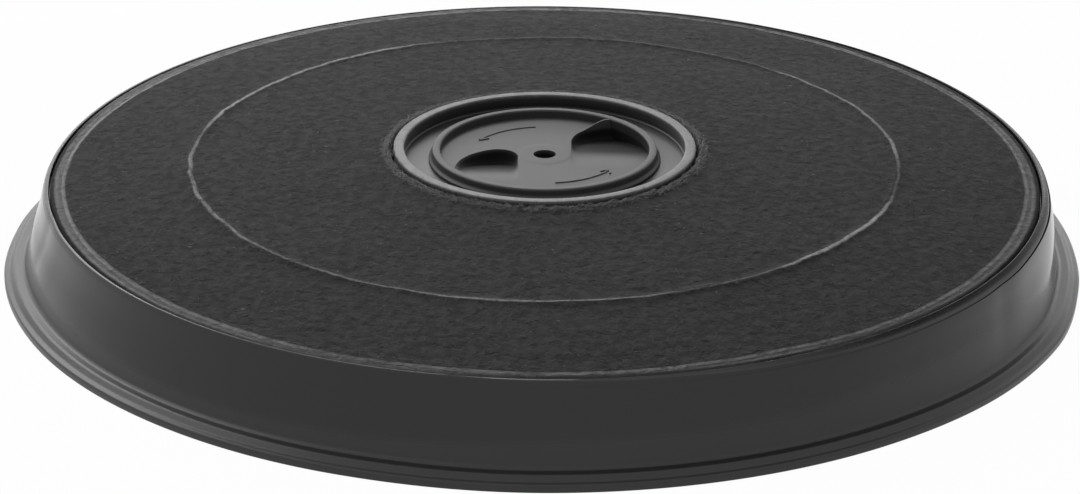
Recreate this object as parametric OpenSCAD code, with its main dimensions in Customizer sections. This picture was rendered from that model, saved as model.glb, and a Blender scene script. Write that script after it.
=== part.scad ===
// Round activated carbon filter for a cooker hood.
// Frame: the seating face of the flange lies on z = 0, the hub's axis is Z,
// and the felt face with the finger cap looks up.

/* [Casing] */
// Outside diameter of the seating flange
flange_d = 240; // [210:1:280]
// Thickness of the flange's outer lip
flange_t = 1.8; // [1.2:0.1:3]
// Width of the flange outside the skirt's foot
flange_w = 4.8; // [4:0.1:8]
// Width of the flat outer lip of the flange
lip_w = 1.4; // [0.8:0.1:1.8]
// Height of the stiffening bead above the lip
bead_h = 0.9; // [0.4:0.1:1.5]
// Height of the casing's top edge above the seat
case_h = 20; // [18:0.5:26]
// How far the skirt leans in from its foot to its top edge
skirt_lean = 4.2; // [2:0.1:7]
// Thickness of the skirt, the ribs and the ledges
wall = 1.5; // [1.2:0.1:2]

/* [Felt and carbon] */
// Thickness of the top felt
felt_t = 1.5; // [1:0.1:2.2]
// Height of the felt's edge above the casing's top edge
felt_proud = 0.25; // [0.1:0.05:0.6]
// Rise of the felt from its edge to the ring rib
rise_outer = 2.6; // [1:0.1:4]
// Rise of the felt from the ring rib to the collar
rise_inner = 2.4; // [1:0.1:4]
// Height of the ridge that the ring rib pushes up in the felt
ridge_h = 0.35; // [0.1:0.05:0.6]
// Width of that ridge
ridge_w = 5; // [3:0.5:8]
// Groove between the felt's edge and the casing's top edge
groove_w = 1; // [0.5:0.1:1.5]
// Width of the welded band along both edges of the felt
weld_w = 2.6; // [1.5:0.1:4]
// Depth by which the weld presses the felt down
weld_drop = 0.15; // [0.05:0.05:0.4]
// Thickness of the felt on the grille
base_felt_t = 1.2; // [0.8:0.1:2]
// Free height left above the carbon granules
bed_gap = 0.2; // [0.1:0.05:0.5]
// Gap at the edges of the loose felts and beds
loose_gap = 0.2; // [0.1:0.05:0.4]

/* [Grille] */
// Height of the grille's underside above the seat
grille_z = 1.5; // [1:0.1:2.5]
// Thickness of the grille's bars
grille_t = 2.4; // [1.6:0.1:3.2]
// Number of spokes
spokes = 18; // [12:1:24]
// Width of a spoke
spoke_w = 2.2; // [1.4:0.1:3]
// Width of a ring bar
bar_w = 1.8; // [1.2:0.1:2.6]
// Number of ring bars between the collar and the ring rib
inner_bars = 3; // [1:1:4]
// Number of ring bars between the ring rib and the skirt
outer_bars = 2; // [1:1:3]
// Diameter of the ring rib as a share of the flange's diameter
rib_share = 0.658; // [0.58:0.002:0.73]

/* [Hub] */
// Outside diameter of the collar
collar_d = 67.6; // [66:0.1:74]
// Thickness of the collar at its top
collar_t = 2.5; // [2:0.1:3]
// Height of the collar above the felt
collar_rise = 1.05; // [0.5:0.05:2]
// Depth of the trench inside the collar
trench_depth = 3.3; // [2.5:0.1:4.5]
// Thickness of the shelf that forms the trench's floor
shelf_t = 1.8; // [1.2:0.1:2.2]
// Outside diameter of the cap's barrel
barrel_d = 49.1; // [48.5:0.1:50]
// Radial running gap between the barrel and its guide
run_gap = 0.05; // [0.02:0.01:0.1]
// Height of the guide tube's lower end above the seat
guide_z = 9; // [8:0.1:11]

/* [Lock cap] */
// Distance that the cap's foot stands out of the barrel
foot_w = 1.35; // [1:0.05:2.4]
// Thickness of the foot
foot_t = 0.6; // [0.4:0.1:1]
// Height of the foot above the shelf
foot_gap = 0.1; // [0.05:0.05:0.3]
// Distance that the grip ring stands out of the barrel
ring_out = 0.55; // [0:0.05:0.9]
// Wall of the grip ring
ring_wall = 1.8; // [1.4:0.1:2.4]
// Height of the grip ring above the trench's floor
ring_rise = 2.64; // [2:0.05:4]
// Depth of the dished floor below the ring's rim
dish_depth = 1.64; // [1:0.05:2.2]
// Thickness of the floor and of the scoops' shells
floor_t = 1.2; // [1:0.1:1.6]
// Diameter of the hole in the middle of the floor
hole_d = 5; // [3:0.1:8]
// Depth of the finger scoops below the floor
scoop_depth = 3.4; // [2.5:0.1:4]
// Curve of the scoops' floors, where 1 is straight
ramp_curve = 1.8; // [1:0.1:3]
// Half the width of the bridge between the scoops
bridge_half = 6.2; // [5:0.1:8]
// Wall of the barrel
barrel_t = 1.65; // [1.3:0.05:2]
// Length of the barrel's bore
bore_len = 12; // [10:0.5:12.5]
// Height of a retaining lug
lug_h = 1.7; // [1.2:0.1:2.2]
// Distance that a retaining lug stands out of the barrel
lug_out = 1.3; // [0.8:0.1:1.6]
// Free gap above and beside the lugs
lug_gap = 0.3; // [0.2:0.05:0.5]
// Width of a retaining lug along the circle, in degrees
lug_deg = 16; // [10:1:24]
// Angle that the cap turns through
turn_deg = 60; // [30:5:75]
// Height of the arc arrows on the floor
arrow_h = 0.2; // [0.1:0.05:0.4]

/* [Hidden] */
$fn = 144;
eps = 0.01;

flange_r = flange_d / 2;
foot_r = flange_r - flange_w;
top_r = foot_r - skirt_lean;
foot_z = flange_t + bead_h + 0.7;
bead_r = flange_r - lip_w - bead_h;
ledge_z = case_h + felt_proud - felt_t;
edge_r = top_r - 0.7;
felt_r = edge_r - groove_w;
ledge_w = 2 * weld_w;

rib_r = rib_share * flange_r;
felt_edge_z = case_h + felt_proud;
felt_rib_z = felt_edge_z + rise_outer;
felt_hub_z = felt_rib_z + rise_inner;
collar_r = collar_d / 2;
collar_z = felt_hub_z + collar_rise;
collar_in = collar_r - collar_t;
undercut = 0.35;
undercut_h = 1;
felt_in = collar_r + 0.1;

trench_z = collar_z - trench_depth;
shelf_z = trench_z - shelf_t;
barrel_r = barrel_d / 2;
guide_r = barrel_r + run_gap;
guide_wall = wall + 0.3;

grille_top = grille_z + grille_t;
bed_z = grille_top + base_felt_t;

cap_foot_r = barrel_r + foot_w;
ring_r = barrel_r + ring_out;
dish_r = ring_r - ring_wall;
rim_z = trench_z + ring_rise;
floor_z = rim_z - dish_depth;
scoop_z = floor_z - scoop_depth;
arrow_r = 0.73 * dish_r;
bore_r = barrel_r - barrel_t;
lug_top = guide_z - lug_gap;
lug_z = lug_top - lug_h;
barrel_z = lug_z - 0.4;
bore_top = barrel_z + bore_len;
relief = 0.3;
stop_deg = 9;
lug_count = 2;

// Points of an arc round a centre, from angle a to angle b
function arc(cx, cy, r, a, b, n) =
    [for (i = [0:n]) [cx + r * cos(a + (b - a) * i / n), cy + r * sin(a + (b - a) * i / n)]];

// Radius of the skirt's outside at a height
function skirt_r(z) = foot_r - skirt_lean * (z - foot_z) / (case_h - foot_z);

// Height of the felt's upper face at a radius
function felt_z(r) = r > rib_r
    ? felt_rib_z - rise_outer * (r - rib_r) / (felt_r - rib_r)
    : felt_hub_z - rise_inner * (r - felt_in) / (rib_r - felt_in);

// Radius of ring bar i of n between two walls
function bar_r(r0, r1, i, n) = r0 + (r1 - r0) * i / (n + 1);

module tube(r_out, r_in, z0, z1) {
    translate([0, 0, z0]) difference() {
        cylinder(r = r_out, h = z1 - z0);
        translate([0, 0, -1]) cylinder(r = r_in, h = z1 - z0 + 2);
    }
}

// Sector of a ring, centred on the +X axis
module sector(r_out, r_in, z0, z1, deg) {
    translate([0, 0, z0]) rotate([0, 0, -deg / 2])
        rotate_extrude(angle = deg)
            translate([r_in, 0]) square([r_out - r_in, z1 - z0]);
}

// Flange with its bead, leaning skirt, top edge and the ledge for the felt
module skirt() {
    rotate_extrude() polygon([
        [skirt_r(0) - wall - 0.4, 0],
        [flange_r - 0.3, 0],
        [flange_r, 0.3],
        [flange_r, flange_t - 0.3],
        [flange_r - 0.3, flange_t],
        [flange_r - lip_w, flange_t],
        [bead_r, flange_t + bead_h],
        [bead_r - 1.1, flange_t + bead_h],
        [bead_r - 1.6, flange_t + bead_h - 0.3],
        [foot_r + 0.3, flange_t + bead_h - 0.3],
        [foot_r, foot_z],
        [top_r + 0.1, case_h - 0.5],
        [top_r - 0.1, case_h - 0.12],
        [top_r - 0.35, case_h],
        [edge_r, case_h],
        [edge_r, ledge_z],
        [felt_r - ledge_w, ledge_z],
        [felt_r - ledge_w, ledge_z - wall],
        [skirt_r(ledge_z - 2 * wall) - wall, ledge_z - 2 * wall],
        [skirt_r(foot_z) - wall, foot_z]
    ]);
}

module grille() {
    for (i = [1:inner_bars])
        let (r = bar_r(collar_r, rib_r, i, inner_bars))
            tube(r + bar_w / 2, r - bar_w / 2, grille_z, grille_top);
    for (i = [1:outer_bars])
        let (r = bar_r(rib_r, felt_r, i, outer_bars))
            tube(r + bar_w / 2, r - bar_w / 2, grille_z, grille_top);
    for (i = [0:spokes - 1]) rotate([0, 0, (i + 0.5) * 360 / spokes])
        translate([collar_r - wall / 2, -spoke_w / 2, grille_z])
            cube([foot_r - collar_r, spoke_w, grille_t]);
}

// Collar wall, trench floor and the tube that guides the cap's barrel
module hub() {
    rotate_extrude() polygon([
        [collar_r - wall, grille_z],
        [collar_r, grille_z],
        [collar_r, felt_hub_z - felt_t - wall],
        [collar_r + weld_w, felt_z(collar_r + weld_w) - felt_t - wall],
        [collar_r + weld_w, felt_z(collar_r + weld_w) - felt_t],
        [collar_r, felt_z(felt_in) - felt_t],
        [collar_r, collar_z - 0.3],
        [collar_r - 0.3, collar_z],
        [collar_in + 0.4, collar_z],
        [collar_in, collar_z - 0.4],
        [collar_in, trench_z + undercut_h],
        [collar_in + undercut, trench_z + undercut_h - 0.1],
        [collar_in + undercut, trench_z],
        [guide_r, trench_z],
        [guide_r, guide_z],
        [guide_r + guide_wall, guide_z],
        [guide_r + guide_wall, shelf_z],
        [collar_r - wall, shelf_z]
    ]);
}

// Wall that parts the two beds and carries the felt's ridge
module rib() {
    r0 = rib_r - wall / 2;
    r1 = rib_r + wall / 2;
    rotate_extrude() polygon([
        [r0, grille_z],
        [r1, grille_z],
        [r1, felt_z(r1) - felt_t],
        [rib_r, felt_rib_z - felt_t],
        [r0, felt_rib_z - felt_t]
    ]);
}

// Blocks under the guide tube that stop the lugs at both ends of the turn
module stops() {
    gap_deg = lug_gap / barrel_r * 180 / PI;
    reach_deg = (lug_deg + stop_deg) / 2 + gap_deg;
    for (k = [0:lug_count - 1]) rotate([0, 0, k * 360 / lug_count])
        for (a = [-reach_deg, turn_deg + reach_deg]) rotate([0, 0, a])
            sector(guide_r + guide_wall - 0.2, guide_r + lug_gap, lug_z, guide_z + 0.5, stop_deg);
}

module casing() {
    color([0.13, 0.13, 0.135]) {
        union() {
            skirt();
            grille();
            hub();
            stops();
            rib();
        }
    }
}

module top_felt() {
    color([0.24, 0.24, 0.24])
        rotate_extrude() polygon([
            [felt_in, felt_z(felt_in) - felt_t],
            [rib_r, felt_rib_z - felt_t],
            [felt_r, ledge_z],
            [felt_r, felt_edge_z - weld_drop],
            [felt_r - weld_w, felt_z(felt_r - weld_w) - weld_drop],
            [felt_r - weld_w - 0.4, felt_z(felt_r - weld_w - 0.4)],
            [rib_r + ridge_w / 2, felt_z(rib_r + ridge_w / 2)],
            [rib_r + ridge_w / 8, felt_rib_z + ridge_h],
            [rib_r - ridge_w / 8, felt_rib_z + ridge_h],
            [rib_r - ridge_w / 2, felt_z(rib_r - ridge_w / 2)],
            [felt_in + weld_w + 0.4, felt_z(felt_in + weld_w + 0.4)],
            [felt_in + weld_w, felt_z(felt_in + weld_w) - weld_drop],
            [felt_in, felt_hub_z - weld_drop]
        ]);
}

// Flat felt ring on the grille, between two walls of the casing
module base_felt(r0, r1) {
    color([0.2, 0.2, 0.2]) tube(r1 - loose_gap, r0 + loose_gap, grille_top, bed_z);
}

module base_felt_outer() {
    base_felt(rib_r + wall / 2, skirt_r(bed_z) - wall);
}

module base_felt_inner() {
    base_felt(collar_r, rib_r - wall / 2);
}

// Granules that fill the space between the two felts
module carbon_bed_outer() {
    r0 = rib_r + wall / 2 + loose_gap;
    r1 = felt_r - ledge_w - loose_gap;
    r2 = skirt_r(bed_z) - wall - loose_gap;
    z2 = ledge_z - 3 * wall;
    color([0.09, 0.09, 0.09]) rotate_extrude() polygon([
        [r0, bed_z],
        [r2, bed_z],
        [skirt_r(z2) - wall - loose_gap, z2],
        [r1, z2],
        [r1, felt_z(r1) - felt_t - bed_gap],
        [r0, felt_z(r0) - felt_t - bed_gap]
    ]);
}

module carbon_bed_inner() {
    r0 = collar_r + weld_w + loose_gap;
    r1 = rib_r - wall / 2 - loose_gap;
    color([0.09, 0.09, 0.09]) rotate_extrude() polygon([
        [r0, bed_z],
        [r1, bed_z],
        [r1, felt_z(r1) - felt_t - bed_gap],
        [r0, felt_z(r0) - felt_t - bed_gap]
    ]);
}

// Plan outlines of the two finger scoops, wider by grow for their shells
module scoop_plan_right(grow) {
    intersection() {
        circle(r = dish_r + grow);
        polygon(concat(
            arc(bridge_half + 5, 13.2, 5 + grow, 180, 90, 8),
            [[ring_r, 18.2 + grow], [ring_r, -8 - grow], [bridge_half - grow, -8 - grow]]));
    }
}

module scoop_plan_left(grow) {
    intersection() {
        circle(r = dish_r + grow);
        polygon(concat(
            [[-bridge_half + grow, -17 - grow]],
            arc(-bridge_half - 4, -1.2, 4 + grow, 0, 100, 8),
            arc(-6.8, -9.4, 12.5 + grow, 112, 180, 8),
            [[-19.3 - grow, -17 - grow]]));
    }
}

// Height of a scoop's floor, which curves down from y_end to the wall at y_wall
function ramp_z(y, y_wall, y_end) =
    floor_z - scoop_depth * pow((y - y_end) / (y_wall - y_end), ramp_curve);

// Space of a scoop along the bridge, from its curved floor up to the rise
module scoop_profile(y_wall, y_end, drop, rise) {
    translate([-ring_r, 0, 0]) rotate([90, 0, 90]) linear_extrude(height = 2 * ring_r)
        polygon(concat(
            [[ring_r, floor_z + rise], [ring_r, scoop_z - drop]],
            [for (i = [8:-1:0])
                let (y = y_end + (y_wall - y_end) * i / 8)
                    [y, ramp_z(y, y_wall, y_end) - drop]],
            [[y_end, floor_z + rise]]));
}

module scoop_right(grow, drop, rise) {
    intersection() {
        translate([0, 0, scoop_z - drop - 1])
            linear_extrude(height = scoop_depth + drop + rise + 2) scoop_plan_right(grow);
        scoop_profile(18.2, -8, drop, rise);
    }
}

module scoop_left(grow, drop, rise) {
    intersection() {
        translate([0, 0, scoop_z - drop - 1])
            linear_extrude(height = scoop_depth + drop + rise + 2) scoop_plan_left(grow);
        scoop_profile(2.8, -16, drop, rise);
    }
}

// Low web that carries the right scoop's lip up to the ring's rim
module lip_web() {
    x0 = bridge_half + 4;
    translate([0, 19.2, 0]) rotate([90, 0, 0]) linear_extrude(height = 1)
        polygon([[x0, floor_z - eps], [dish_r * 0.7, floor_z - eps], [dish_r * 0.7, rim_z], [dish_r * 0.64, rim_z - 0.3]]);
}

// Raised arc arrow along a circle, pointing anticlockwise
module arc_arrow(r, start, end) {
    w = 0.45;
    translate([0, 0, floor_z - eps]) linear_extrude(height = arrow_h + eps) {
        polygon(concat(arc(0, 0, r + w / 2, start, end, 10), arc(0, 0, r - w / 2, end, start, 10)));
        rotate([0, 0, end]) translate([r, 0])
            polygon([[-1.3, -1.9], [-0.8, -2.2], [0, -0.6], [0.8, -2.2], [1.3, -1.9], [0, 0.7]]);
    }
}

module cap_shell() {
    rotate_extrude() polygon([
        [bore_r, barrel_z],
        [barrel_r, barrel_z],
        [barrel_r, trench_z + foot_gap],
        [cap_foot_r, trench_z + foot_gap],
        [cap_foot_r, trench_z + foot_gap + foot_t],
        [ring_r, trench_z + foot_gap + foot_t + 0.3],
        [ring_r, rim_z - 0.3],
        [ring_r - 0.3, rim_z],
        [dish_r + 0.3, rim_z],
        [dish_r, rim_z - 0.3],
        [dish_r, floor_z],
        [0, floor_z],
        [0, floor_z - floor_t],
        [bore_r + relief, floor_z - floor_t],
        [bore_r + relief, bore_top + relief],
        [bore_r, bore_top]
    ]);
}

module lock_cap() {
    color([0.15, 0.15, 0.155]) {
        difference() {
            union() {
                cap_shell();
                scoop_right(floor_t, floor_t, -eps);
                scoop_left(floor_t, floor_t, -eps);
                lip_web();
                for (k = [0:lug_count - 1]) rotate([0, 0, k * 360 / lug_count])
                    sector(barrel_r + lug_out, barrel_r - eps, lug_z, lug_top, lug_deg);
            }
            scoop_right(0, 0, 3);
            scoop_left(0, 0, 3);
            translate([0, 0, floor_z - 2 * floor_t]) cylinder(d = hole_d, h = 4 * floor_t);
        }
        arc_arrow(arrow_r, 97, 150);
        arc_arrow(arrow_r, 278, 328);
    }
}

casing();
top_felt();
base_felt_outer();
base_felt_inner();
carbon_bed_outer();
carbon_bed_inner();
lock_cap();
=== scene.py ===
import math
import random

import bmesh
import bpy
from mathutils import Matrix, Vector, noise
from mathutils.geometry import delaunay_2d_cdt


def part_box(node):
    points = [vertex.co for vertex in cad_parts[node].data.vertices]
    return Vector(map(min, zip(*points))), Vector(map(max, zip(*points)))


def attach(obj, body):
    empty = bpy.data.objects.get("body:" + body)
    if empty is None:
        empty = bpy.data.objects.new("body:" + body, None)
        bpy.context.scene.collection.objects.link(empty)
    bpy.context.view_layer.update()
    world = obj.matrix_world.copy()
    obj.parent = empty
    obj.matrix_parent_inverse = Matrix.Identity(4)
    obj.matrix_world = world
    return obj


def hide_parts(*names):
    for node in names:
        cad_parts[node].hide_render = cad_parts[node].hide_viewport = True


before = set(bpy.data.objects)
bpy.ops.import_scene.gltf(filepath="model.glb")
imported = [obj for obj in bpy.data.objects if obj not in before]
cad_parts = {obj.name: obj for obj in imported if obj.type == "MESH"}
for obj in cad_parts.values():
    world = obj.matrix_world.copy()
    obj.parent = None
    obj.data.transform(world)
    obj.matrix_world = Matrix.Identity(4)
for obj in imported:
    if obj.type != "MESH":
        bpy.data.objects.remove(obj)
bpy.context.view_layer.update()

mm = 0.001
scene = bpy.context.scene
print("stage: frame loaded")


class Wire:  # a shader socket that can be added, multiplied and so on
    def __init__(self, graph, socket):
        self.graph = graph
        self.socket = socket

    def do(self, operation, *values):
        return self.graph.node("ShaderNodeMath", {"operation": operation}, dict(enumerate(values)))

    def __add__(self, other):
        return self.do("ADD", self, other)

    __radd__ = __add__

    def __sub__(self, other):
        return self.do("SUBTRACT", self, other)

    def __rsub__(self, other):
        return self.do("SUBTRACT", other, self)

    def __mul__(self, other):
        return self.do("MULTIPLY", self, other)

    __rmul__ = __mul__

    def __truediv__(self, other):
        return self.do("DIVIDE", self, other)

    def __pow__(self, other):
        return self.do("POWER", self, other)

    def __abs__(self):
        return self.do("ABSOLUTE", self)


class Graph:  # node tree of a material or of the world
    def __init__(self, owner):
        self.owner = owner
        owner.use_nodes = True
        self.tree = owner.node_tree
        self.tree.nodes.clear()

    def node(self, kind, settings=None, inputs=None, out=0):
        item = self.tree.nodes.new(kind)
        for key, value in (settings or {}).items():
            if key == "stops":
                self.setStops(item.color_ramp, value)
            else:
                setattr(item, key, value)
        for key, value in (inputs or {}).items():
            if isinstance(value, Wire):
                self.tree.links.new(value.socket, item.inputs[key])
            else:
                item.inputs[key].default_value = value
        return Wire(self, item.outputs[out]) if item.outputs else item

    def setStops(self, ramp, stops):
        while len(ramp.elements) < len(stops):
            ramp.elements.new(0.5)
        for element, (place, level) in zip(ramp.elements, stops):
            element.position = place
            element.color = (level, level, level, 1)

    def coords(self, scale=(1, 1, 1), turn=0):  # object coordinates in millimetres, stretched and turned
        raw = self.node("ShaderNodeTexCoord", out="Object")
        return self.node("ShaderNodeMapping", {}, {
            "Vector": raw, "Scale": [1000 * s for s in scale], "Rotation": (0, 0, turn)})

    def noise(self, perMm, detail=3, rough=0.55, scale=(1, 1, 1), turn=0):
        return self.node("ShaderNodeTexNoise", {}, {
            "Vector": self.coords(scale, turn), "Scale": perMm, "Detail": detail, "Roughness": rough})

    def step(self, value, low, high):  # 0 below low, 1 above high, smooth between
        return self.node("ShaderNodeMapRange", {"interpolation_type": "SMOOTHSTEP"}, {
            "Value": value, "From Min": low, "From Max": high})

    def tint(self, mask, a, b):  # colour a where the mask is 0, b where it is 1
        return self.node("ShaderNodeMix", {"data_type": "RGBA"}, {0: mask, 6: a, 7: b}, out=2)

    def bump(self, height, distance, strength=1.0, normal=None):
        inputs = {"Height": height, "Distance": distance * mm, "Strength": strength}
        if normal:
            inputs["Normal"] = normal
        return self.node("ShaderNodeBump", {}, inputs)

    def polar(self):  # radius in mm, angle as 0..1 round the hub from -X, and height in mm
        place = self.coords()
        x, y, z = (self.node("ShaderNodeSeparateXYZ", {}, {0: place}, out=i) for i in range(3))
        radius = (x * x + y * y) ** 0.5
        angle = x.do("ARCTAN2", y, x) / (2 * math.pi) + 0.5
        return radius, angle, z

    def finish(self, settings, dull=None, mask=None):  # dull holds what changes where the mask is 1
        shader = self.node("ShaderNodeBsdfPrincipled", {}, settings)
        if dull:
            other = self.node("ShaderNodeBsdfPrincipled", {}, {**settings, **dull})
            shader = self.node("ShaderNodeMixShader", {}, {0: mask, 1: shader, 2: other})
        self.node("ShaderNodeOutputMaterial", {}, {"Surface": shader})
        return self.owner


def newLook(name):
    return Graph(bpy.data.materials.new(name))


def grey(level, warm=0.0):
    return (level * (1 + warm), level, level * (1 - warm), 1)


def makePiece(name, bm, material, body, nodes=(), smoothDeg=35):
    mesh = bpy.data.meshes.new(name)
    bmesh.ops.recalc_face_normals(bm, faces=bm.faces)
    for face in bm.faces:
        face.smooth = True
    bm.to_mesh(mesh)
    bm.free()
    mesh.set_sharp_from_angle(angle=math.radians(smoothDeg))
    mesh.materials.append(material)
    piece = bpy.data.objects.new(name, mesh)
    scene.collection.objects.link(piece)
    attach(piece, body)
    if nodes:
        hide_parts(*nodes)
    print("piece:", name, len(mesh.polygons), "faces")
    return piece


def rounded(points, steps=5):  # closed profile of (r, z, fillet) with its corners rounded
    loop = []
    for i, (r, z, fillet) in enumerate(points):
        corner = Vector((r, z))
        before = Vector(points[i - 1][:2]) - corner
        after = Vector(points[(i + 1) % len(points)][:2]) - corner
        cut = min(fillet, before.length * 0.48, after.length * 0.48)
        if cut < 0.01:
            loop.append(corner)
            continue
        a = corner + before.normalized() * cut
        b = corner + after.normalized() * cut
        for k in range(steps + 1):
            t = k / steps
            loop.append(a * (1 - t) ** 2 + corner * 2 * t * (1 - t) + b * t ** 2)
    return loop


def onCircle(r, phi, z):  # point in metres from a radius and a height in mm and an angle
    return (r * math.cos(phi) * mm, r * math.sin(phi) * mm, z * mm)


def addLathe(bm, loop, segments, shift=None, start=0.0, sweep=2 * math.pi):
    full = sweep > 6.28
    rings = []
    for j in range(segments + (0 if full else 1)):
        phi = start + sweep * j / segments
        ring = []
        for r, z in loop:
            dr, dz = shift(r, z, phi) if shift else (0, 0)
            ring.append(bm.verts.new(onCircle(r + dr, phi, z + dz)))
        rings.append(ring)
    n = len(loop)
    for j in range(segments):
        a, b = rings[j], rings[(j + 1) % len(rings)]
        for i in range(n):
            k = (i + 1) % n
            bm.faces.new((a[i], b[i], b[k], a[k]))
    if not full:
        bm.faces.new(rings[0])
        bm.faces.new(rings[-1][::-1])


def addBar(bm, low, high, turn=0.0, soft=0.25):  # box with softened edges, turned about the hub
    box = bmesh.ops.create_cube(bm, size=1)["verts"]
    size = Vector(high) - Vector(low)
    middle = (Vector(high) + Vector(low)) / 2
    place = Matrix.Rotation(turn, 4, "Z") @ Matrix.Translation(middle * mm)
    place = place @ Matrix.Diagonal((size * mm).to_4d())
    bmesh.ops.transform(bm, matrix=place, verts=box)
    edges = list({e for v in box for e in v.link_edges})
    bmesh.ops.bevel(bm, geom=edges, offset=soft * mm, segments=2, affect="EDGES", profile=0.5)


# what the casing, the felt and the cap share
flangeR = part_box("casing")[1].y / mm
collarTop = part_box("casing")[1].z / mm
hub = dict(collarR=33.8, collarIn=31.3, undercut=0.35, trench=23.0, shelf=21.2, guideIn=24.6, guideOut=26.4,
           guideZ=9.0, stopLow=7.0, stopHigh=9.5, stopDeg=9, stopAt=(-13.2, 73.2))
felt = dict(inner=33.9, outer=109.9, edgeZ=20.25, ribR=79.0, ribZ=22.85, hubZ=25.25, thick=1.5, rings=160,
            spokes=580)


def feltHeight(r):  # one slope from the collar to the ridge, another from there to the edge
    f = felt
    if r > f["ribR"]:
        return f["ribZ"] + (f["edgeZ"] - f["ribZ"]) * (r - f["ribR"]) / (f["outer"] - f["ribR"])
    return f["hubZ"] + (f["ribZ"] - f["hubZ"]) * (r - f["inner"]) / (f["ribR"] - f["inner"])


def smooth(t):
    t = min(1, max(0, t))
    return t * t * (3 - 2 * t)


def wave(degrees, centre, width):  # soft hump round an angle, both in degrees
    gap = (degrees - centre + 180) % 360 - 180
    return math.exp(-(gap / width) ** 2)


def around(table, phi):  # value at an angle from a list of (degrees, value), smooth between its entries
    degrees = math.degrees(phi) % 360
    entries = sorted((d % 360, v) for d, v in table)
    entries = [(entries[-1][0] - 360, entries[-1][1])] + entries + [(entries[0][0] + 360, entries[0][1])]
    for (d0, v0), (d1, v1) in zip(entries, entries[1:]):
        if d0 <= degrees <= d1:
            t = (degrees - d0) / max(d1 - d0, 1e-6)
            return v0 + (v1 - v0) * t * t * (3 - 2 * t)
    return entries[0][1]


def dense(table):  # the same list worked out at every half degree
    return [around(table, math.radians(k / 2)) for k in range(720)]


def atAngle(values, phi):
    t = math.degrees(phi) % 360 * 2
    k = int(t) % 720
    return values[k] + (values[(k + 1) % 720] - values[k]) * (t - int(t))


def aroundStops(table, low, high):  # the same list as stops of a ramp over the angle
    stops = sorted((((d + 180) % 360) / 360, (v - low) / (high - low)) for d, v in table)
    return stops + [(1.0, stops[0][1])]


# radius of the weld's inner line, and how far the thin casing is out of round at its top edge and its flange
weldLine = [(0, 107.0), (20, 106.6), (42, 106.0), (60, 106.3), (90, 106.2), (120, 105.8), (150, 105.9),
            (180, 106.9), (205, 107.3), (232, 107.7), (245, 108.2), (258, 108.0), (270, 108.5), (281, 108.4),
            (296, 107.9), (307, 108.8), (325, 108.2), (345, 107.4)]
weldRange = (104, 112)
topWarp = [(0, 1.1), (30, 1.2), (45, 1.2), (60, 0.9), (90, 0.0), (120, -0.3), (150, 0.1), (180, 0.3),
           (205, 0.1), (232, -0.2), (258, -0.3), (270, 0.3), (281, 0.6), (296, 1.5), (307, 2.1), (325, 2.2),
           (345, 1.6)]
flangeWarp = [(0, -0.5), (90, 0.0), (165, 0.0), (175, 0.4), (188, 0.9), (205, 0.7), (230, 0.45), (250, 0.55),
              (270, 1.1), (290, 1.0), (306, 1.0), (322, 1.3), (335, 1.1), (350, -0.1)]
weldAngles, topAngles, flangeAngles = dense(weldLine), dense(topWarp), dense(flangeWarp)

# materials
plastic = dict(skirt=0.01, flange=0.04, hub=0.046, cap=0.019, ring=0.06, rough=0.09, flangeRough=0.34,
               edgeRough=0.24, hubRough=0.42, capRough=0.5, ior=1.45)


def plasticBase(g, level):  # moulded grey-black with faint clouds and specks of dust
    cloud = g.noise(0.035, 4, 0.6)
    dust = g.step(g.noise(0.9, 6, 0.8), 0.6, 0.8)
    base = g.tint(cloud, grey(level * 0.8), grey(level * 1.25, 0.01))
    return g.tint(dust * 0.35, base, grey(level * 2 + 0.03, 0.02)), cloud, dust


def casingPlastic():
    p = plastic
    g = newLook("casingPlastic")
    radius, angle, height = g.polar()
    outside = g.step(radius, 45, 60)
    onFlange = g.step(radius, 114.4, 115.3)
    onEdge = g.step(height, 18.9, 19.6) * g.step(radius, 108.5, 109.5)
    # painted shade: on the right side only, the shoulder is given a dull, barely reflecting finish with light
    # dust specks, so that side is darker
    rightEdge = onEdge * g.step(angle, 0.3, 0.37) * (1 - g.step(angle, 0.64, 0.72))
    base, cloud, dust = plasticBase(g, p["skirt"])
    # the flange is a greyer, dusty plastic, lightened further as painted light against the shade in its groove
    base = g.tint(onFlange, base, plasticBase(g, p["flange"])[0])
    # painted light: the hub area is coloured lighter than the skirt, standing in for fill light on it
    base = g.tint(outside, plasticBase(g, p["hub"])[0], base)
    # the collar's top is painted lighter grey: partly real scuffs, partly a painted highlight on its top face
    onCollar = g.step(height, 25.3, 25.7) * (1 - outside)
    scuffAndHighlight = g.step(g.noise(0.35, 5, 0.7, (1, 0.6, 1)), 0.35, 0.7)
    base = g.tint(onCollar * (0.3 + scuffAndHighlight * 0.5), base, grey(0.19))
    specks = g.step(g.noise(1.6, 4, 0.7), 0.56, 0.7)
    base = g.tint(rightEdge, base, g.tint(specks, grey(0.016), grey(0.11)))
    streak = g.noise(0.25, 3, 0.6, (0.25, 0.25, 3))
    rough = p["hubRough"] + (p["rough"] - p["hubRough"]) * outside
    rough = rough + (p["flangeRough"] - p["rough"]) * onFlange + (p["edgeRough"] - p["rough"]) * onEdge
    shine = rough + (cloud - 0.5) * 0.05 + (streak - 0.5) * 0.03 + dust * 0.1
    normal = g.bump(g.noise(3.5, 2), 0.004, 0.6, g.bump(streak, 0.015, 0.5))
    return g.finish({"Base Color": base, "Roughness": shine, "Normal": normal, "IOR": p["ior"]},
                    {"Specular IOR Level": 0.05}, rightEdge * 0.9)


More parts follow.
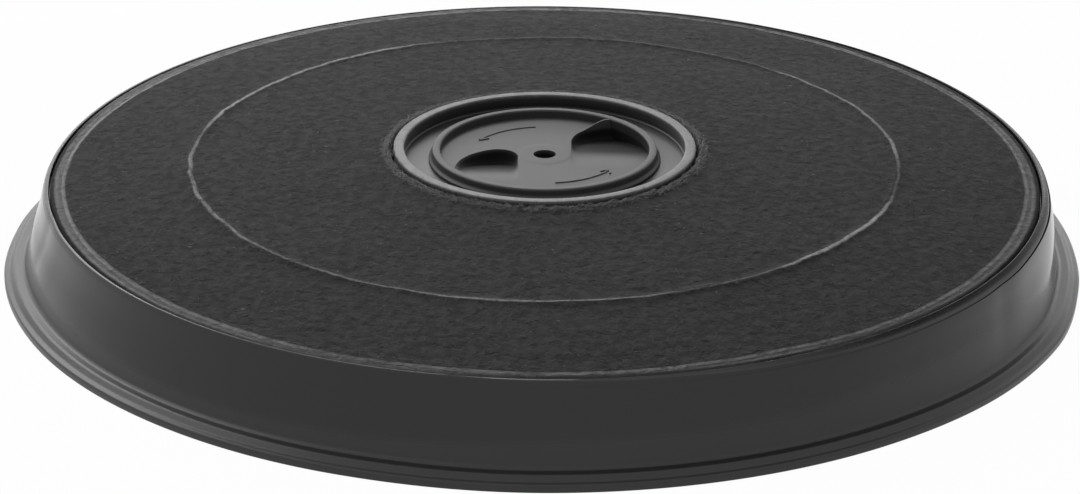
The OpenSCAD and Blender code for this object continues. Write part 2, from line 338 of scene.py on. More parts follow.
def capPlastic():
    g = newLook("capPlastic")
    base, cloud, dust = plasticBase(g, plastic["cap"])
    radius, angle, height = g.polar()
    # painted light: the outer part of the cap's grip ring is coloured lighter than the rest of the cap
    base = g.tint(g.step(radius, 24.7, 25.2), base, plasticBase(g, plastic["ring"])[0])
    shine = plastic["capRough"] + (cloud - 0.5) * 0.06 + dust * 0.1
    # painted shade: the low parts of the scoops get a dull finish that reflects little, standing in for the
    # shade in them
    scoopShade = (1 - g.step(height, 23.05, 23.92)) * (1 - g.step(radius, 23.6, 24.0))
    normal = g.bump(g.noise(3.5, 2), 0.005, 0.6)
    return g.finish({"Base Color": base, "Roughness": shine, "Normal": normal, "IOR": plastic["ior"]},
                    {"Specular IOR Level": 0.07}, scoopShade)


casingLook = casingPlastic()
capLook = capPlastic()

# painted highlight along the ridge line round the felt: its brightness by angle from -X, anticlockwise
ridgeHighlight = [(0.0, 0.75), (0.09, 0.7), (0.14, 0.35), (0.18, 0.3), (0.22, 0.55), (0.29, 0.5), (0.31, 0.12),
              (0.35, 0.15), (0.375, 0.9), (0.43, 0.95), (0.46, 0.15), (0.49, 0.2), (0.51, 0.6), (0.62, 0.5),
              (0.64, 0.12), (0.8, 0.1), (0.83, 0.75), (0.95, 0.8), (0.97, 0.35), (1.0, 0.75)]


def feltLook():
    g = newLook("needledFelt")
    radius, angle, height = g.polar()
    clump = g.noise(0.42, 4, 0.6, (1, 0.75, 1))
    patch = g.noise(0.07, 4, 0.6)
    fuzz = g.noise(1.1, 5, 0.75)
    wander = g.noise(0.12, 3, 0.6)
    pits = g.noise(0.55, 3, 0.55, (1, 0.9, 1), 0.3)
    fibre = g.noise(1.2, 2, 0.5, (0.35, 1.6, 1), 0.5)
    for turn in (1.6, 2.6):
        fibre = fibre.do("MAXIMUM", fibre, g.noise(1.2, 2, 0.5, (0.35, 1.6, 1), turn))
    tone = g.step(clump * 0.75 + fuzz * 0.25, 0.38, 0.62)
    base = g.tint(tone, grey(0.018, 0.015), grey(0.051, 0.015))
    base = g.tint(g.step(patch, 0.35, 0.7) * 0.35, base, grey(0.055, 0.012))
    base = g.tint(g.step(pits, 0.53, 0.63) * 0.85, base, grey(0.016))
    base = g.tint(g.step(fibre, 0.68, 0.8) * 0.3, base, grey(0.12))
    lint = g.step(g.noise(0.8, 2, 0.4), 0.745, 0.79)
    base = g.tint(lint * 0.7, base, grey(0.24))
    # painted highlight: a pale line along the felt's ridge, brighter at the angles where the ridge catches
    # light
    shine = g.node("ShaderNodeValToRGB", {"stops": ridgeHighlight}, {"Fac": angle})
    off = abs(radius + (wander - 0.5) * 1.6 - felt["ribR"])
    line = 1 - g.step(off / (0.5 + shine * 0.5), 0.15, 0.8)
    line = line * (0.1 + shine) * (0.45 + g.step(fuzz, 0.3, 0.55) * 0.55)
    base = g.tint(line, base, grey(0.6))
    low, high = weldRange
    weldAt = g.node("ShaderNodeValToRGB", {"stops": aroundStops(weldLine, low, high)}, {"Fac": angle})
    weldAt = weldAt * (high - low) + low
    inward = weldAt - radius - (wander - 0.5) * 0.7
    pressed = 1 - g.step(inward, -0.3, 0.1)
    back = g.step(angle, 0.68, 0.76) * (1 - g.step(angle, 0.93, 0.99))
    beyond = (1 - g.step(inward, -2.3, -1.9)) * (1 - back * 0.8)
    # painted highlight: a pale line along the weld's raised edge and a fainter second one outside it,
    # brightness varied slowly round the felt
    slow = g.step(g.noise(0.02, 2), 0.3, 0.65)
    rim = (1 - g.step(abs(inward), 0.15, 0.6)) * (0.55 + slow * 0.45)
    second = (1 - g.step(abs(inward + 1.5), 0.05, 0.5)) * (1.2 - slow) * 0.5
    rim = rim.do("MAXIMUM", rim, second)
    base = g.tint(pressed * (0.5 + g.step(fuzz, 0.3, 0.7) * 0.5), base, g.tint(back, grey(0.08), grey(0.14)))
    base = g.tint(beyond, base, g.tint(g.step(fuzz, 0.6, 0.72), grey(0.02), grey(0.12)))
    base = g.tint(rim * (0.5 + g.step(clump, 0.3, 0.55) * 0.5), base, grey(0.36))
    ragged = radius + (fuzz - 0.5) * 1.6 - felt["inner"]
    fringe = (1 - g.step(ragged, 1.6, 2.9)) * g.step(fuzz, 0.3, 0.6)
    base = g.tint(fringe * 0.8, base, grey(0.2))
    # painted shade: the felt's innermost edge, down in the gap at the collar, is painted nearly black
    base = g.tint(1 - g.step(ragged, 0.35, 0.7), base, grey(0.006))
    relief = clump * 1.3 - g.step(pits, 0.55, 0.75) * 0.35 + fuzz * 0.2
    normal = g.bump(relief, 0.5, 0.75)
    rough = 0.88 - pressed * (1 - beyond) * 0.3
    return g.finish({"Base Color": base, "Roughness": rough, "Normal": normal, "IOR": 1.4,
                     "Specular IOR Level": 0.3})


def hairLook():  # pale where the felt is frayed at the collar, darker over the face
    g = newLook("looseFibre")
    radius, angle, height = g.polar()
    tone = g.noise(0.6, 2)
    face = g.step(radius, 36.5, 37.5)
    pale = g.tint(tone, grey(0.12), grey(0.42))
    dark = g.tint(tone, grey(0.05), grey(0.2))
    return g.finish({"Base Color": g.tint(face, pale, dark), "Roughness": 0.7})


def baseFeltLook():
    g = newLook("grilleFelt")
    clump = g.noise(0.5, 4, 0.6)
    fibre = g.noise(1.6, 3, 0.6, (0.4, 1.5, 1), 0.9)
    tone = g.step(clump * 0.5 + fibre * 0.5, 0.35, 0.7)
    base = g.tint(tone, grey(0.03), grey(0.062))
    return g.finish({"Base Color": base, "Roughness": 0.9, "Normal": g.bump(clump + fibre, 0.5, 0.8)})


def carbonLook():
    g = newLook("carbonGranules")
    cell = g.node("ShaderNodeTexVoronoi", {}, {"Vector": g.coords(), "Scale": 0.6})
    dusty = g.noise(1.2, 3)
    base = g.tint(dusty, grey(0.008), grey(0.028))
    normal = g.bump(1 - cell, 0.8)
    return g.finish({"Base Color": base, "Roughness": 0.4 + dusty * 0.3, "Normal": normal})


feltMaterial = feltLook()
hairMaterial = hairLook()
print("stage: materials")

# casing: flange, skirt, hub, rib and grille in one moulding
casing = dict(flangeT=1.8, flangeIn=113.9, footR=115.2, footZ=3.4, topR=111.0, topZ=20.0, edgeR=110.2,
              ledgeZ=18.75, ledgeR=104.2, wall=1.5, segments=360, grilleZ=1.5, grilleT=2.4, spokes=18,
              spokeW=2.2, barW=1.8, innerBars=3, outerBars=2, ribHalf=0.75, hubSegments=240, barSegments=180)
# angle, width in degrees and depth in mm of each dent in the skirt
dents = [(194.5, 1.3, 0.16), (199.0, 2.4, -0.1), (327.0, 1.6, 0.14), (331.5, 2.5, -0.09), (262.0, 6.0, 0.07),
         (285.0, 5.0, -0.06)]


def skirtRadius(z):
    c = casing
    return c["footR"] - (c["footR"] - c["topR"]) * (z - c["footZ"]) / (c["topZ"] - c["footZ"])


def casingShift(r, z, phi):  # out of round, with sink marks and a slight wave in the thin skirt
    degrees = math.degrees(phi)
    up = smooth((z - 3.2) / 15)
    out = atAngle(topAngles, phi) * up * (0.35 if r < 110.5 and z > 18 else 1)
    if r > 113:
        out += atAngle(flangeAngles, phi) * (1 - up)
    fade = min(1, max(0, (z - 3.2) / 3)) * min(1, max(0, (20.4 - z) / 2 + 0.3))
    dent = sum(depth * wave(degrees, centre + (z - 10) * 0.12, width) for centre, width, depth in dents)
    ripple = 0.05 * math.sin(5 * phi + 0.7) + 0.03 * math.sin(11 * phi + z * 0.08)
    drop = atAngle(topAngles, phi) * 0.45 if r > 110.5 and z > 18.9 else 0
    return out - (dent + ripple) * fade, -max(0, drop)


def buildCasing():
    c = casing
    bm = bmesh.new()
    ft = c["flangeT"]
    skirt = [(c["flangeIn"], 0, 0.3), (flangeR, 0, 0.4), (flangeR, ft - 0.1, 0.5),
             (flangeR - 1.2, ft + 0.15, 0.35), (flangeR - 2.4, ft + 1.15, 0.7), (flangeR - 3.3, ft + 1.15, 0.5),
             (flangeR - 4.1, ft + 1.2, 0.3), (c["footR"], c["footZ"] + 0.1, 0.35)]
    for k in range(1, 8):
        z = c["footZ"] + (c["topZ"] - c["footZ"]) * k / 8
        skirt.append((skirtRadius(z), z, 0))
    skirt += [(skirtRadius(19.1), 19.1, 0.5), (c["topR"] - 0.25, c["topZ"] + 0.05, 0.5),
              (c["edgeR"], c["topZ"] - 0.05, 0.2), (c["edgeR"] - 0.1, c["ledgeZ"], 0.15),
              (c["ledgeR"], c["ledgeZ"], 0.2), (c["ledgeR"], c["ledgeZ"] - 1.5, 0.4),
              (skirtRadius(15.5) - c["wall"], 15.5, 0.6),
              (skirtRadius(c["footZ"]) - c["wall"], c["footZ"], 0.4)]
    addLathe(bm, rounded(skirt), c["segments"], casingShift)

    h = hub
    collar, collarIn, trench = h["collarR"], h["collarIn"], h["trench"]
    wallIn = collar - c["wall"]
    ledgeR = collar + 2.6
    ledge = feltHeight(ledgeR) - felt["thick"]
    hubLoop = [(wallIn, c["grilleZ"], 0.3), (collar, c["grilleZ"], 0.3), (collar, ledge - 1.5, 0.3),
               (ledgeR, ledge - 1.5, 0.2), (ledgeR, ledge, 0.2), (collar, ledge + 0.1, 0.1),
               (collar, collarTop, 0.55), (collarIn, collarTop, 0.5), (collarIn + 0.05, trench + 1.05, 0.15),
               (collarIn + h["undercut"], trench + 0.95, 0.1), (collarIn + h["undercut"], trench, 0.5),
               (h["guideIn"] + 2.2, trench - 0.02, 0.2), (h["guideIn"], trench, 0.15),
               (h["guideIn"], h["guideZ"], 0.3), (h["guideOut"], h["guideZ"], 0.3),
               (h["guideOut"], h["shelf"], 0.5), (wallIn, h["shelf"], 0.6)]
    addLathe(bm, rounded(hubLoop, 4), c["hubSegments"])
    top = c["grilleZ"] + c["grilleT"]
    ribIn, ribOut = felt["ribR"] - c["ribHalf"], felt["ribR"] + c["ribHalf"]
    ribTop = felt["ribZ"] - felt["thick"]
    rib = [(ribIn, c["grilleZ"], 0.3), (ribOut, c["grilleZ"], 0.3), (ribOut, ribTop, 0.3), (ribIn, ribTop, 0.3)]
    addLathe(bm, rounded(rib, 2), c["barSegments"])
    fields = [(collar, felt["ribR"], c["innerBars"]), (felt["ribR"], felt["outer"], c["outerBars"])]
    for low, high, count in fields:
        for i in range(1, count + 1):
            r = low + (high - low) * i / (count + 1)
            a, b = r - c["barW"] / 2, r + c["barW"] / 2
            bar = [(a, c["grilleZ"], 0.5), (b, c["grilleZ"], 0.5), (b, top, 0.2), (a, top, 0.2)]
            addLathe(bm, rounded(bar, 2), c["barSegments"])
    for i in range(c["spokes"]):
        turn = (i + 0.5) * 2 * math.pi / c["spokes"]
        addBar(bm, (collar - 0.75, -c["spokeW"] / 2, c["grilleZ"] + 0.03),
               (c["footR"] - 0.75, c["spokeW"] / 2, top - 0.03), turn)
    stopIn, stopOut, low, high = h["guideIn"] + 0.3, h["guideOut"] - 0.2, h["stopLow"], h["stopHigh"]
    block = [(stopIn, low, 0.1), (stopOut, low, 0.1), (stopOut, high, 0.1), (stopIn, high, 0.1)]
    for k in (0, math.pi):
        for centre in h["stopAt"]:
            start = k + math.radians(centre - h["stopDeg"] / 2)
            addLathe(bm, rounded(block, 2), 6, None, start, math.radians(h["stopDeg"]))
    return makePiece("filterCasing", bm, casingLook, "filter", ["casing"])


casingPiece = buildCasing()
print("stage: casing")

# top felt: a stretched ring of nonwoven with the rib's ridge and welded edges
ridge = dict(height=0.42, width=1.15, wander=0.5)
# middle x and y, width along x and y, and height of each soft swelling, all in mm
folds = [(-48, 74, 22, 34, 0.35), (20, 92, 40, 10, 0.28), (62, 66, 26, 12, -0.25), (-70, -30, 14, 30, 0.25),
         (52, -52, 24, 18, 0.22), (-20, -58, 30, 12, -0.2), (88, 10, 8, 26, 0.2), (-30, 96, 40, 6, 0.3)]


def feltEdge(phi):  # the welded edge follows the casing where that bulges
    return felt["outer"] + 0.3 * max(0, atAngle(topAngles, phi))


def feltTop(r, phi):
    x, y = r * math.cos(phi), r * math.sin(phi)
    z = feltHeight(r)
    spot = Vector((x, y, 0))
    path = felt["ribR"] + ridge["wander"] * noise.noise(spot * 0.06) * 2
    crest = ridge["height"] * (0.75 + 0.5 * noise.noise(spot * 0.03 + Vector((9, 0, 0))))
    z += crest * math.exp(-((r - path) / ridge["width"]) ** 2)
    middle = min(1, max(0, (r - felt["inner"] - 4) / 8)) * min(1, max(0, (felt["outer"] - 5 - r) / 8))
    z += middle * 0.3 * noise.noise(spot * 0.045) * (0.5 + noise.noise(spot * 0.011 + Vector((3, 3, 0))))
    for fx, fy, fw, fh, lift in folds:
        z += middle * lift * math.exp(-((x - fx) / fw) ** 2 - ((y - fy) / fh) ** 2)
    z += 0.07 * noise.noise(spot * 0.55) + 0.05 * noise.noise(spot * 1.3)
    weld = atAngle(weldAngles, phi) + 0.35 * noise.noise(spot * 0.12)
    z -= 0.25 / (1 + math.exp(-(r - weld - 0.3) * 6))
    z -= 0.6 * smooth((r - feltEdge(phi) + 0.6) / 0.6) ** 2
    near = 1 / (1 + math.exp((r - felt["inner"] - 1.9 - 0.8 * noise.noise(spot * 0.4)) * 3))
    z += near * (0.3 + 0.35 * noise.noise(spot * 0.7))
    z -= 0.9 * (1 - smooth((r - felt["inner"] - 0.15 + 0.5 * noise.noise(spot * 0.5)) / 0.7))
    return z


def joinRows(bm, rows):  # closed ring of faces between circles of points, the last one with the first
    for a, b in zip(rows, rows[1:] + rows[:1]):
        for j in range(len(a)):
            k = (j + 1) % len(a)
            bm.faces.new((a[j], b[j], b[k], a[k]))


def buildFelt():
    f = felt
    bm = bmesh.new()
    angles = [2 * math.pi * j / f["spokes"] for j in range(f["spokes"])]
    rows = [[] for i in range(f["rings"] + 4)]
    for phi in angles:
        edge = feltEdge(phi)
        top = [f["inner"] + (edge - f["inner"]) * i / f["rings"] for i in range(f["rings"] + 1)]
        section = [(r, feltTop(r, phi)) for r in top]
        section += [(r, feltHeight(r) - f["thick"] + 0.01) for r in (edge, f["ribR"], f["inner"])]
        for row, (r, z) in zip(rows, section):
            row.append(bm.verts.new(onCircle(r, phi, z)))
    joinRows(bm, rows)
    return makePiece("feltFace", bm, feltMaterial, "filter", ["top_felt"], 60)


feltPiece = buildFelt()

# loose fibres that stand out of the felt, most of them along its edges and its ridge
hairs = dict(face=2300, collar=4000, weld=1600, ridge=1200, thick=0.05, faceFrom=36.5, faceTo=108.5,
             collarFrom=34.2, collarTo=36.6, collarMost=35.0, weldFrom=105.8, weldTo=108.9, ridgeSpread=0.6)


def addHair(bm, r, phi, heading, length, lift, thick):
    x, y = r * math.cos(phi), r * math.sin(phi)
    points = []
    bend = random.uniform(-1.2, 1.2)
    for k in range(4):
        r = math.hypot(x, y)
        rest = feltTop(min(max(r, felt["inner"]), felt["outer"]), math.atan2(y, x))
        if r < hub["collarR"] + 0.15:
            rest = max(rest, collarTop + 0.02)
        points.append(Vector((x, y, rest + lift * math.sin(math.pi * (k + 0.4) / 4.2))))
        x += math.cos(heading) * length / 3
        y += math.sin(heading) * length / 3
        heading += bend / 3
    previous = None
    for k, point in enumerate(points):
        along = (points[min(k + 1, 3)] - points[max(k - 1, 0)]).normalized()
        side = along.cross(Vector((0, 0, 1))).normalized()
        up = side.cross(along)
        half = thick * (0.5 if k in (1, 2) else 0.2)
        ring = []
        for a in (0.5, 2.6, 4.7):
            ring.append(bm.verts.new((point + side * half * math.cos(a) + up * half * math.sin(a)) * mm))
        if previous:
            for i in range(3):
                bm.faces.new((previous[i], previous[(i + 1) % 3], ring[(i + 1) % 3], ring[i]))
        else:
            bm.faces.new(ring)
        previous = ring
    bm.faces.new(previous[::-1])


def anyAngle():
    return random.uniform(0, 2 * math.pi)


def alongCircle(phi, spread):  # a heading that follows the circle either way
    return phi + random.choice((-1, 1)) * math.pi / 2 + random.gauss(0, spread)


def buildHairs():
    random.seed(11)
    h = hairs
    bm = bmesh.new()
    for i in range(h["face"]):
        r = math.sqrt(random.uniform(h["faceFrom"] ** 2, h["faceTo"] ** 2))
        addHair(bm, r, anyAngle(), anyAngle(), random.uniform(0.7, 2.6), random.uniform(0.02, 0.16), h["thick"])
    for i in range(h["collar"]):
        phi = anyAngle()
        heading = alongCircle(phi, 0.5)
        r = random.triangular(h["collarFrom"], h["collarTo"], h["collarMost"])
        addHair(bm, r, phi, heading, random.uniform(0.8, 2.4), random.uniform(0.05, 0.6), h["thick"] * 1.4)
    for i in range(h["weld"]):
        phi = anyAngle()
        heading = alongCircle(phi, 0.35)
        r = random.uniform(h["weldFrom"], h["weldTo"])
        addHair(bm, r, phi, heading, random.uniform(1, 3), random.uniform(0.02, 0.14), h["thick"])
    for i in range(h["ridge"]):
        phi = math.radians(random.choice((random.uniform(168, 232), random.uniform(0, 360))))
        heading = alongCircle(phi, 0.5)
        r = random.gauss(felt["ribR"], h["ridgeSpread"])
        addHair(bm, r, phi, heading, random.uniform(0.8, 2), random.uniform(0.05, 0.2), h["thick"])
    return makePiece("feltFibres", bm, hairMaterial, "filter")


hairPiece = buildHairs()
print("stage: felt")

# lock cap: grip ring, barrel and lugs as lathes, and the dished floor with its two scoops
cap = dict(foot=25.9, ring=25.1, dish=23.3, rim=25.64, floor=24.0, floorT=1.2, scoopZ=20.5, ramp=1.8, hole=2.5,
           bore=22.9, barrel=24.55, barrelZ=6.6, boreTop=19.6, bridge=6.2, lugOut=25.85, lugLow=7.0,
           lugHigh=8.7, lugDeg=16)
arrow = dict(half=0.25, high=0.2, headWide=0.42, headLong=2.4, headHigh=0.3, headBack=1.1, headLean=32)
rightScoop = dict(wallY=17.9, endY=-8.0, corner=10.5)
leftScoop = dict(wallY=2.8, endY=-16.0, corner=4.2, bow=12.3, turn=112)


def arc(cx, cy, r, a, b, n):
    steps = [math.radians(a + (b - a) * i / n) for i in range(n + 1)]
    return [(cx + r * math.cos(t), cy + r * math.sin(t)) for t in steps]


def scoopOutlines(grow):  # plan of the right and the left scoop, wider by grow
    far = cap["ring"]
    b = cap["bridge"]
    big = rightScoop["corner"]
    right = arc(b + big, rightScoop["wallY"] - big, big + grow, 180, 90, 28)
    right += [(far, rightScoop["wallY"] + grow), (far, -9 - grow), (b - grow, -9 - grow)]
    small, wide, turn = leftScoop["corner"], leftScoop["bow"], leftScoop["turn"]
    x, y = -b - small, leftScoop["wallY"] - small
    wideX = x - (wide - small) * math.cos(math.radians(turn))
    wideY = y - (wide - small) * math.sin(math.radians(turn))
    left = [(-b + grow, -17 - grow)] + arc(x, y, small + grow, 0, turn, 20)
    left += arc(wideX, wideY, wide + grow, turn, 180, 26)[1:]
    left += [(wideX - wide - grow, -17 - grow)]
    return right, left


def signedDistance(x, y, outline):  # negative inside
    best = 1e9
    inside = False
    for i, (ax, ay) in enumerate(outline):
        bx, by = outline[(i + 1) % len(outline)]
        dx, dy = bx - ax, by - ay
        t = min(1, max(0, ((x - ax) * dx + (y - ay) * dy) / (dx * dx + dy * dy)))
        best = min(best, math.hypot(x - ax - t * dx, y - ay - t * dy))
        if (ay > y) != (by > y) and x < ax + (y - ay) * dx / dy:
            inside = not inside
    return -best if inside else best


def floorHeight(x, y, outlines):  # floor with both ramped scoops, the right one's lip and a boss at the hole
    depth = cap["floor"] - cap["scoopZ"]
    z = cap["floor"]
    for outline, scoop in zip(outlines, (rightScoop, leftScoop)):
        fall = max(0, (y - scoop["endY"]) / (scoop["wallY"] - scoop["endY"])) ** cap["ramp"]
        s = signedDistance(x, y, outline)
        z -= depth * fall * (1 - (1 - min(1, max(0, 0.25 - s) / 1.7)) ** 3)
    s = signedDistance(x, y, outlines[0])
    lip = smooth((x - 8.5) / 5.5) * (1 if y > 12 else 0)
    z += 1.5 * lip * smooth((s + 0.3) / 0.3) * smooth((1.1 - s) / 0.5)
    z += 0.07 * smooth((6.2 - math.hypot(x, y)) / 0.7)
    return z


def addFloor(bm, grow, drop):  # one face of the cap's floor, with more points along the scoops' walls
    outlines = scoopOutlines(grow)
    edgeR = cap["dish"] + 0.35
    points, edges = [], []

    def addLoop(loop):
        first = len(points)
        points.extend(Vector(p) for p in loop)
        count = len(loop)
        edges.extend((first + i, first + (i + 1) % count) for i in range(count))

    addLoop(arc(0, 0, edgeR, 0, 357.5, 143))
    addLoop(arc(0, 0, cap["hole"], 0, 352.5, 47))
    addLoop(arc(0, 0, cap["hole"] + 0.25, 0, 352.5, 47))
    for r in (5.6, 6.0):
        points.extend(Vector(p) for p in arc(0, 0, r, 0, 354, 59))
    for s in (0.9, 0.6, 0.4, 0.25, 0.1, -0.05, -0.2, -0.4, -0.6, -0.9, -1.2, -1.5):
        for outline in scoopOutlines(grow + s):
            row = []
            for i, (ax, ay) in enumerate(outline):
                bx, by = outline[(i + 1) % len(outline)]
                count = max(1, int(math.hypot(bx - ax, by - ay) / 0.5))
                row += [(ax + (bx - ax) * k / count, ay + (by - ay) * k / count) for k in range(count)]
            points.extend(Vector(p) for p in row if math.hypot(*p) < edgeR - 0.05)
    span = int(edgeR)
    for i in range(-span, span + 1):
        for j in range(-span, span + 1):
            x, y = i + 0.5 * (j % 2), j * 0.87
            if cap["hole"] + 0.5 < math.hypot(x, y) < edgeR - 0.3:
                if min(abs(signedDistance(x, y, o)) for o in outlines) > 1.1:
                    points.append(Vector((x, y)))
    verts, _, faces, *_ = delaunay_2d_cdt(points, edges, [], 0, 1e-4)
    made = [bm.verts.new((v.x * mm, v.y * mm, (floorHeight(v.x, v.y, outlines) - drop) * mm)) for v in verts]
    kept = []
    for face in faces:
        cx = sum(verts[i].x for i in face) / len(face)
        cy = sum(verts[i].y for i in face) / len(face)
        if math.hypot(cx, cy) > cap["hole"]:
            kept.append(bm.faces.new([made[i] for i in face]))
    loose = [v for v in made if not v.link_faces]
    bmesh.ops.delete(bm, geom=loose, context="VERTS")
    return kept


def addArrow(bm, r, start, end):  # raised arc with an open head, pointing anticlockwise
    z = cap["floor"]
    low, high, half = z - 0.1, z + arrow["high"], arrow["half"]
    rib = [(r - half, low, 0), (r + half, low, 0), (r + half - 0.05, high, 0.08), (r - half + 0.05, high, 0.08)]
    addLathe(bm, rounded(rib, 2), 24, None, math.radians(start), math.radians(end - start))
    tip = Matrix.Rotation(math.radians(end), 4, "Z") @ Matrix.Translation((r * mm, 0, z * mm))
    back = Matrix.Translation((0, -arrow["headBack"] * mm, 0.08 * mm))
    stroke = Matrix.Diagonal((arrow["headWide"] * mm, arrow["headLong"] * mm, arrow["headHigh"] * mm, 1))
    for side in (-1, 1):
        lean = Matrix.Rotation(side * math.radians(arrow["headLean"]), 4, "Z")
        head = bmesh.ops.create_cube(bm, size=1)["verts"]
        bmesh.ops.transform(bm, matrix=tip @ lean @ back @ stroke, verts=head)


def buildCap():
    c = cap
    bm = bmesh.new()
    dishIn = c["dish"] - 0.05
    shell = [(c["bore"], c["barrelZ"], 0.3), (c["barrel"], c["barrelZ"], 0.3), (c["barrel"], 23.1, 0.1),
             (c["foot"], 23.12, 0.1), (c["foot"], 23.55, 0.15), (c["ring"] + 0.15, 24.1, 0.35),
             (c["ring"], c["rim"] + 0.02, 0.5), (c["dish"], c["rim"], 0.5), (dishIn, c["boreTop"] + 0.3, 0.05),
             (dishIn, c["boreTop"], 0.05), (c["bore"], c["boreTop"] - 0.4, 0.05)]
    addLathe(bm, rounded(shell), 288)
    lugIn, lugOut, low, high = c["barrel"] - 0.2, c["lugOut"], c["lugLow"], c["lugHigh"]
    lug = [(lugIn, low, 0.1), (lugOut, low, 0.3), (lugOut, high, 0.3), (lugIn, high, 0.1)]
    for k in (0, math.pi):
        addLathe(bm, rounded(lug, 3), 8, None, k - math.radians(c["lugDeg"] / 2), math.radians(c["lugDeg"]))
    top = addFloor(bm, 0, 0)
    under = addFloor(bm, c["floorT"], c["floorT"])
    for low, high in ((c["hole"] - 0.1, c["hole"] + 0.1), (c["dish"] + 0.2, c["dish"] + 0.5)):
        rims = []
        for face in top + under:
            for e in face.edges:
                if len(e.link_faces) == 1 and all(low < v.co.xy.length / mm < high for v in e.verts):
                    rims.append(e)
        bmesh.ops.bridge_loops(bm, edges=list(set(rims)))
    addArrow(bm, 16.9, 97, 150)
    addArrow(bm, 17.1, 278, 328)
    return makePiece("fingerCap", bm, capLook, "lock", ["lock_cap"], 40)


capPiece = buildCap()
print("stage: cap")

# felt discs on the grille, pressed a little between its bars by the granules above them
grilleFelt = dict(step=0.9, spokes=360, press=0.22, clear=0.05)


def buildGrilleFelt(name, node, inner):
    low, high = (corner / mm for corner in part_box(node))
    outer = high.y
    count = round((outer - inner) / grilleFelt["step"])
    bm = bmesh.new()
    rows = [[] for i in range(2 * count + 2)]
    for j in range(grilleFelt["spokes"]):
        phi = 2 * math.pi * j / grilleFelt["spokes"]
        bay = abs(math.sin(phi * casing["spokes"] / 2 + math.pi / 2)) ** 0.5
        section = []
        for i in range(count + 1):
            r = inner + (outer - inner) * i / count
            spot = Vector((r * math.cos(phi), r * math.sin(phi), 0))
            edge = smooth((r - inner) / 3) * smooth((outer - r) / 3)
            sag = grilleFelt["press"] * edge * bay * (0.6 + noise.noise(spot * 0.11))
            under = low.z + grilleFelt["clear"] - sag
            over = high.z - 0.1 + 0.12 * noise.noise(spot * 0.3) * edge
            section.append((r, under, over))
        loop = [(r, z) for r, z, _ in section] + [(r, z) for r, _, z in reversed(section)]
        for row, (r, z) in zip(rows, loop):
            row.append(bm.verts.new(onCircle(r, phi, z)))
    joinRows(bm, rows)
    piece = makePiece(name, bm, baseMaterial, "filter", [node], 60)


baseMaterial = baseFeltLook()
buildGrilleFelt("grilleFeltOuter", "base_felt_outer", felt["ribR"] + 0.85)
buildGrilleFelt("grilleFeltInner", "base_felt_inner", hub["collarR"] + 0.1)
carbonMaterial = carbonLook()
for node in ("carbon_bed_outer", "carbon_bed_inner"):
    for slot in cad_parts[node].material_slots:
        slot.material = carbonMaterial
print("stage: base felts and granules")

# floor, world, lamps and camera
stage = dict(floorSize=8, floorGrey=0.85, floorShare=0.98, white=1.0, worldLight=0.09)


def seenRays(g):  # 1 for the rays that show the background: straight on, in the gloss and through glass
    rays = ("Is Camera Ray", "Is Glossy Ray", "Is Transmission Ray")
    seen, glossy, through = (g.node("ShaderNodeLightPath", out=ray) for ray in rays)
    return seen.do("MAXIMUM", seen.do("MAXIMUM", seen, glossy), through)


def buildFloor():
    g = newLook("paleFloor")
    share = seenRays(g) * stage["floorShare"]
    matt = g.node("ShaderNodeBsdfDiffuse", {}, {"Color": grey(stage["floorGrey"])})
    glow = g.node("ShaderNodeEmission", {}, {"Color": grey(1.0), "Strength": stage["white"]})
    both = g.node("ShaderNodeMixShader", {}, {0: share, 1: matt, 2: glow})
    g.node("ShaderNodeOutputMaterial", {}, {"Surface": both})
    bm = bmesh.new()
    bmesh.ops.create_grid(bm, x_segments=8, y_segments=8, size=stage["floorSize"] / 2)
    mesh = bpy.data.meshes.new("floor")
    bm.to_mesh(mesh)
    bm.free()
    mesh.materials.append(g.owner)
    floor = bpy.data.objects.new("floor", mesh)
    floor.location.z = -0.02 * mm
    scene.collection.objects.link(floor)


buildFloor()


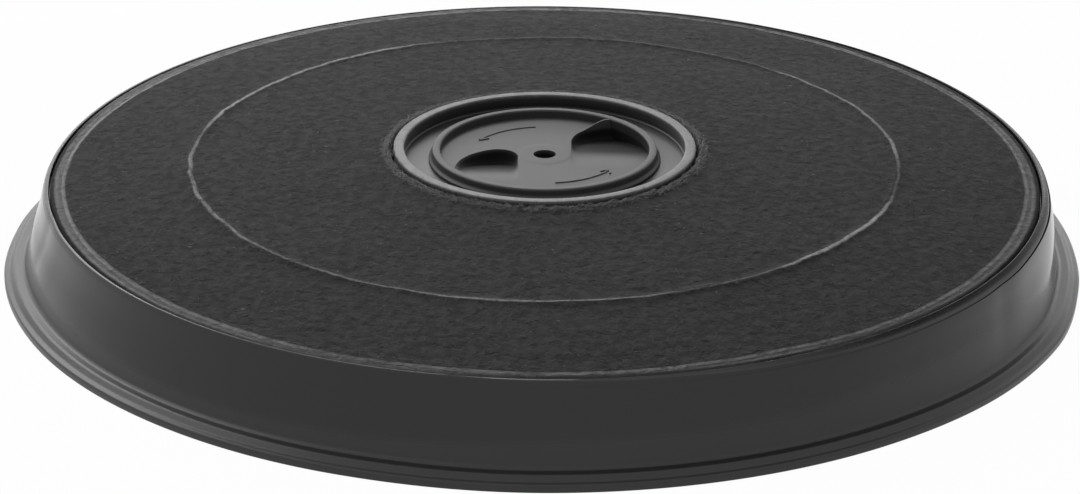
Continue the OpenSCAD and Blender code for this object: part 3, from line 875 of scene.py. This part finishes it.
def buildWorld():  # white where it is seen, dim for the rest
    scene.world = bpy.data.worlds.new("studio")
    g = Graph(scene.world)
    dim = g.node("ShaderNodeBackground", {}, {"Color": grey(1.0), "Strength": stage["worldLight"]})
    white = g.node("ShaderNodeBackground", {}, {"Color": grey(1.0), "Strength": stage["white"]})
    both = g.node("ShaderNodeMixShader", {}, {0: seenRays(g), 1: dim, 2: white})
    g.node("ShaderNodeOutputWorld", {}, {"Surface": both})


buildWorld()

# name, place and size in metres, and power in watts
lamps = [("backBox", (0, 1.5, 0.56), (2.6, 0.66), 1.9),
         ("lowBox", (0, 1.9, 0.3), (2.6, 0.14), 4),
         ("leftBox", (-0.9, 0.35, 0.95), (1.0, 0.8), 3.3),
         ("overBox", (-0.25, 0.52, 0.46), (0.7, 0.3), 2.3),
         ("edgeStrip", (-0.5, -0.6, 0.78), (0.8, 0.04), 0.3)]
for name, place, size, power in lamps:
    data = bpy.data.lights.new(name, "AREA")
    data.shape = "RECTANGLE"
    data.size, data.size_y = size
    data.energy = power
    lamp = bpy.data.objects.new(name, data)
    lamp.location = place
    lamp.rotation_euler = (Vector((0, 0, 0.02)) - Vector(place)).to_track_quat("-Z", "Y").to_euler()
    scene.collection.objects.link(lamp)

# place in metres, turns in radians and focal length in mm
view = dict(place=(0, -0.8104, 0.34538), pitch=0.4013, yaw=-0.00115, roll=0.00446, lens=130.0)
pitch, yaw, roll = view["pitch"], view["yaw"], view["roll"]
ahead = Vector((math.sin(yaw) * math.cos(pitch), math.cos(yaw) * math.cos(pitch), -math.sin(pitch)))
level = Vector((math.cos(yaw), -math.sin(yaw), 0))
upward = level.cross(ahead)
right = level * math.cos(roll) + upward * math.sin(roll)
up = upward * math.cos(roll) - level * math.sin(roll)
lens = bpy.data.cameras.new("camera")
lens.lens = view["lens"]
lens.sensor_width = 36
lens.sensor_fit = "HORIZONTAL"
camera = bpy.data.objects.new("camera", lens)
camera.matrix_world = Matrix.Translation(view["place"]) @ Matrix((right, up, -ahead)).transposed().to_4x4()
scene.collection.objects.link(camera)
scene.camera = camera
scene.view_settings.view_transform = "Standard"
print("stage: light and camera")
